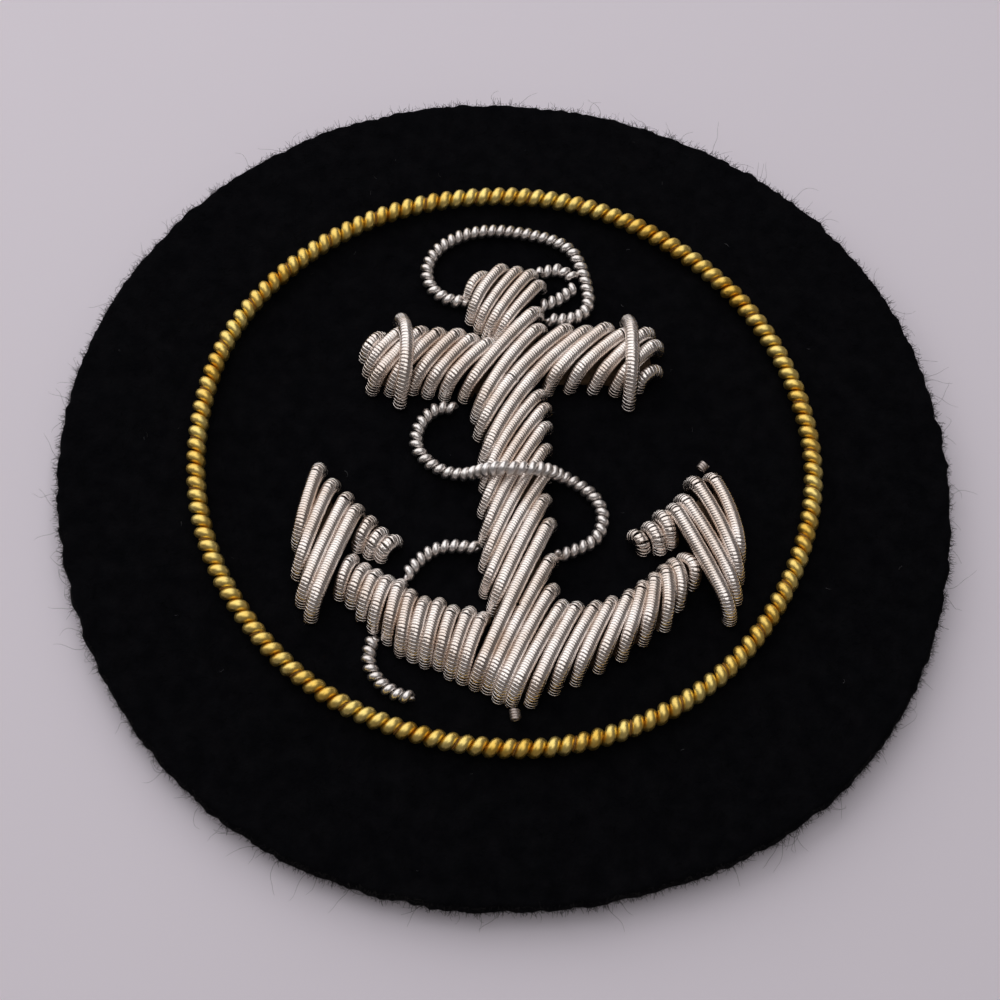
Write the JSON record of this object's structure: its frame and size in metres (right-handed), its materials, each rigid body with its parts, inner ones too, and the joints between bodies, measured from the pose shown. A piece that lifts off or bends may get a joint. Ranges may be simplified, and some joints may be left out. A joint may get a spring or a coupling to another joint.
{
  "type": "embroidered cap badge",
  "caption": "Round cloth cap badge with a raised embroidered anchor and rope in silver metal purl inside a gold purl border, flat at the back for sewing on.",
  "frame": {"origin": "centre of the disc on its back face", "axes": "+Z out of the embroidered face, +Y towards the anchor's head, +X to the right as the badge is seen from the front"},
  "size_m": [0.054, 0.0539, 0.0048],
  "materials": {
    "black_cloth": "napped wool cloth",
    "stiffener": "stiffened open weave",
    "lining": "plain weave cotton",
    "padding_felt": "felt",
    "gold_purl": "bright gilt wire",
    "silver_purl": "bright silver plated wire",
    "gold_thread": "waxed thread",
    "silver_thread": "waxed thread"
  },
  "bodies": {
    "root": {"back_lining": "lining", "stiffener": "stiffener", "face_cloth": "black_cloth", "border_purl": "gold_purl", "border_stitching": "gold_thread", "head_padding": "padding_felt", "stock_left_padding": "padding_felt", "crossing_padding": "padding_felt", "stock_right_padding": "padding_felt", "shank_padding": "padding_felt", "crown_padding": "padding_felt", "left_arm_padding": "padding_felt", "right_arm_padding": "padding_felt", "left_fluke_padding": "padding_felt", "right_fluke_padding": "padding_felt", "head_purls": "silver_purl", "stock_left_purls": "silver_purl", "crossing_purls": "silver_purl", "stock_right_purls": "silver_purl", "shank_purls": "silver_purl", "crown_purls": "silver_purl", "left_arm_purls": "silver_purl", "right_arm_purls": "silver_purl", "left_fluke_purls": "silver_purl", "left_barb_purls": "silver_purl", "right_fluke_purls": "silver_purl", "right_barb_purls": "silver_purl", "stock_band_left": "silver_purl", "stock_band_right": "silver_purl", "rope_top_loop": "silver_purl", "rope_shackle_upper": "silver_purl", "rope_shackle_lower": "silver_purl", "rope_middle": "silver_purl", "rope_lower_left": "silver_purl", "rope_tail": "silver_purl", "rope_stitching": "silver_thread", "cut_ends": "silver_purl"}
  },
  "joints": []
}
